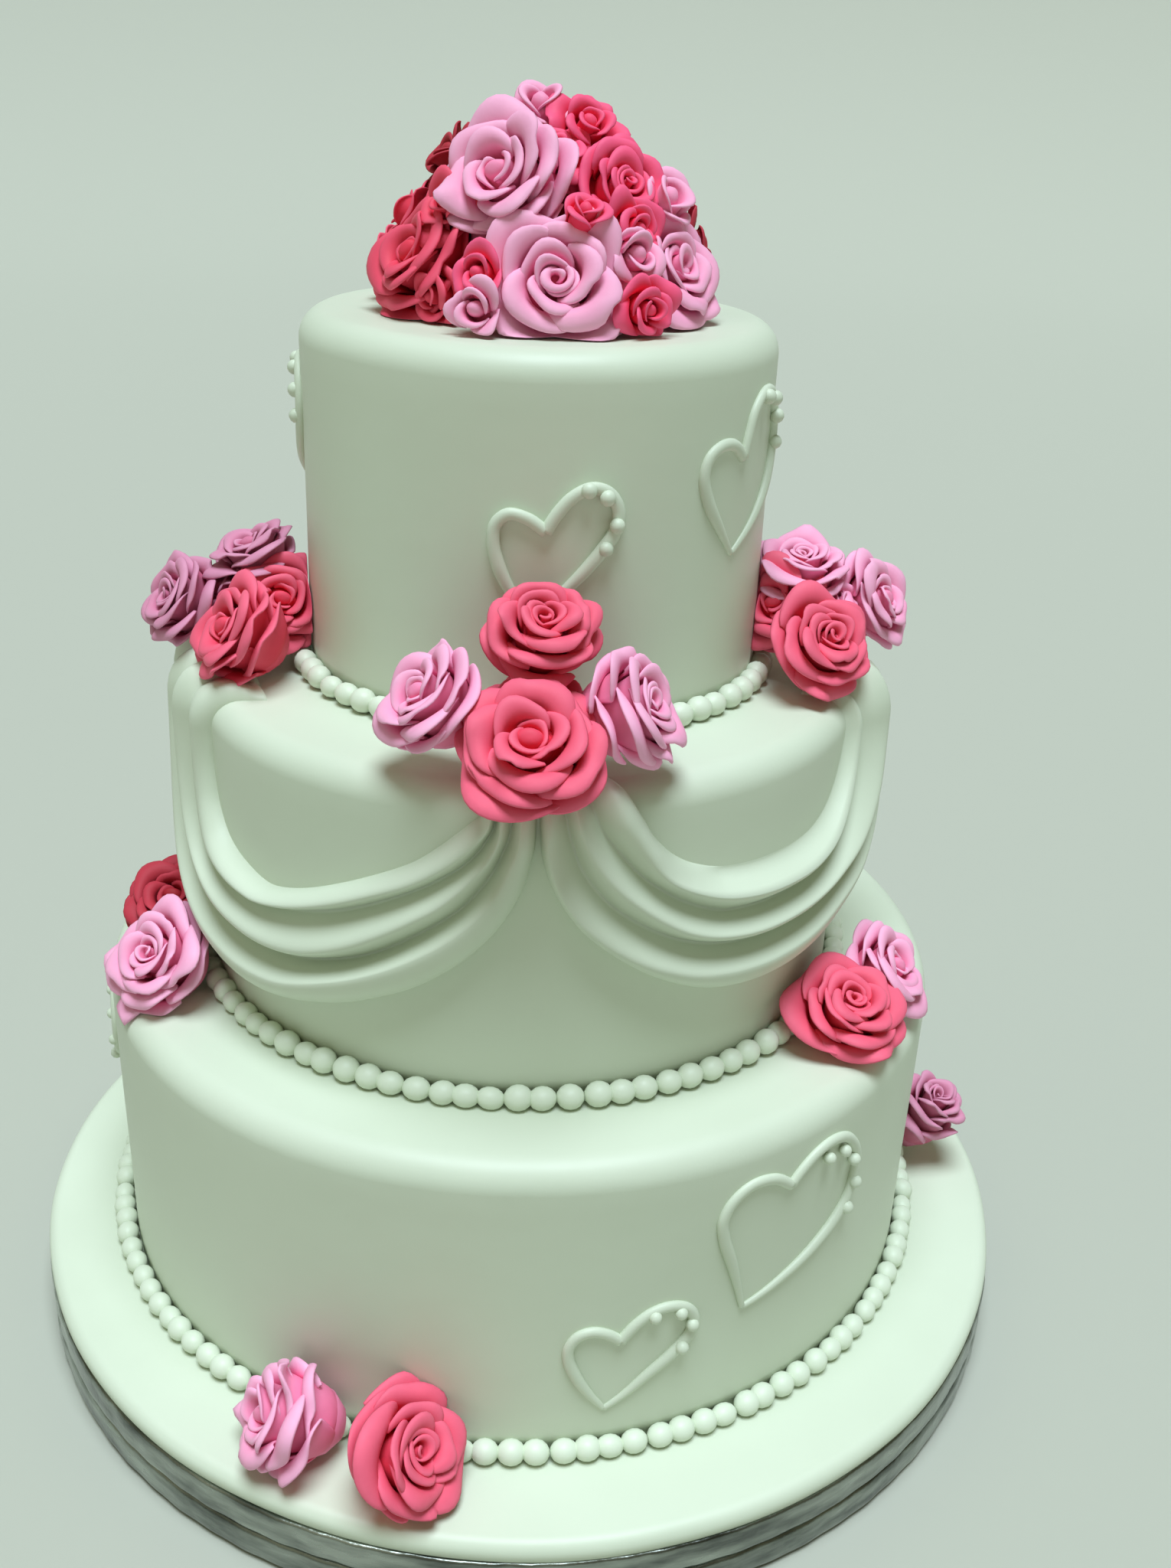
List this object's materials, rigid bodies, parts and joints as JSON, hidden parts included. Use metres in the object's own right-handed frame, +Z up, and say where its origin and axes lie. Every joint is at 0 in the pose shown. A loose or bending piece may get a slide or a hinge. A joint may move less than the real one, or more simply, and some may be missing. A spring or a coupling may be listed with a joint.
{
  "type": "tiered wedding cake",
  "caption": "Round tiered wedding cake in white icing with pearl borders, draped swags, rope hearts and sugar roses in pink and coral, on an iced board",
  "frame": {"origin": "centre of the underside of the board's lower disc", "axes": "+Z up through the tiers, -Y towards the front gather of the swags"},
  "size_m": [0.3836, 0.3836, 0.444],
  "materials": {
    "white_icing": "smooth rolled sugar paste, matt with a soft sheen",
    "pearl_icing": "rolled sugar paste pearls, soft satin",
    "coral_sugar_paste": "matt sugar paste petals, coral red",
    "pink_sugar_paste": "matt sugar paste petals, lilac pink",
    "silver_foil": "silver cake board foil, satin with a fine emboss"
  },
  "bodies": {
    "root": {"board_disc_lower": "silver_foil", "board_disc_upper": "silver_foil", "board_icing": "white_icing", "bud_top_coral_back_left": "coral_sugar_paste", "bud_top_coral_left": "coral_sugar_paste", "bud_top_coral_right": "coral_sugar_paste", "bud_top_pink_crown": "pink_sugar_paste", "bud_top_pink_left": "pink_sugar_paste", "bud_top_pink_right": "pink_sugar_paste", "heart_bottom_back": "white_icing", "heart_bottom_back_right": "white_icing", "heart_bottom_front": "white_icing", "heart_bottom_left": "white_icing", "heart_bottom_right": "white_icing", "heart_top_back": "white_icing", "heart_top_front": "white_icing", "heart_top_left": "white_icing", "heart_top_right": "white_icing", "pearls_bottom": "pearl_icing", "pearls_middle": "pearl_icing", "pearls_top": "pearl_icing", "rose_back_coral": "coral_sugar_paste", "rose_back_pink_left": "pink_sugar_paste", "rose_back_pink_upper": "pink_sugar_paste", "rose_board_coral": "coral_sugar_paste", "rose_board_pink": "pink_sugar_paste", "rose_board_right_pink": "pink_sugar_paste", "rose_front_coral": "coral_sugar_paste", "rose_front_coral_upper": "coral_sugar_paste", "rose_front_pink_left": "pink_sugar_paste", "rose_front_pink_right": "pink_sugar_paste", "rose_ledge_left_coral": "coral_sugar_paste", "rose_ledge_left_pink": "pink_sugar_paste", "rose_ledge_right_coral": "coral_sugar_paste", "rose_ledge_right_pink": "pink_sugar_paste", "rose_left_coral": "coral_sugar_paste", "rose_left_pink_outer": "pink_sugar_paste", "rose_left_pink_upper": "pink_sugar_paste", "rose_right_coral": "coral_sugar_paste", "rose_right_pink_outer": "pink_sugar_paste", "rose_right_pink_upper": "pink_sugar_paste", "rose_top_coral_back": "coral_sugar_paste", "rose_top_coral_crown": "coral_sugar_paste", "rose_top_coral_left": "coral_sugar_paste", "rose_top_coral_lower_right": "coral_sugar_paste", "rose_top_coral_right": "coral_sugar_paste", "rose_top_coral_upper_left": "coral_sugar_paste", "rose_top_pink_back": "pink_sugar_paste", "rose_top_pink_back_upper": "pink_sugar_paste", "rose_top_pink_centre": "pink_sugar_paste", "rose_top_pink_right": "pink_sugar_paste", "rose_top_pink_upper": "pink_sugar_paste", "swag_back_left": "white_icing", "swag_back_right": "white_icing", "swag_front_left": "white_icing", "swag_front_right": "white_icing", "tier_bottom": "white_icing", "tier_middle": "white_icing", "tier_top": "white_icing"}
  },
  "joints": []
}
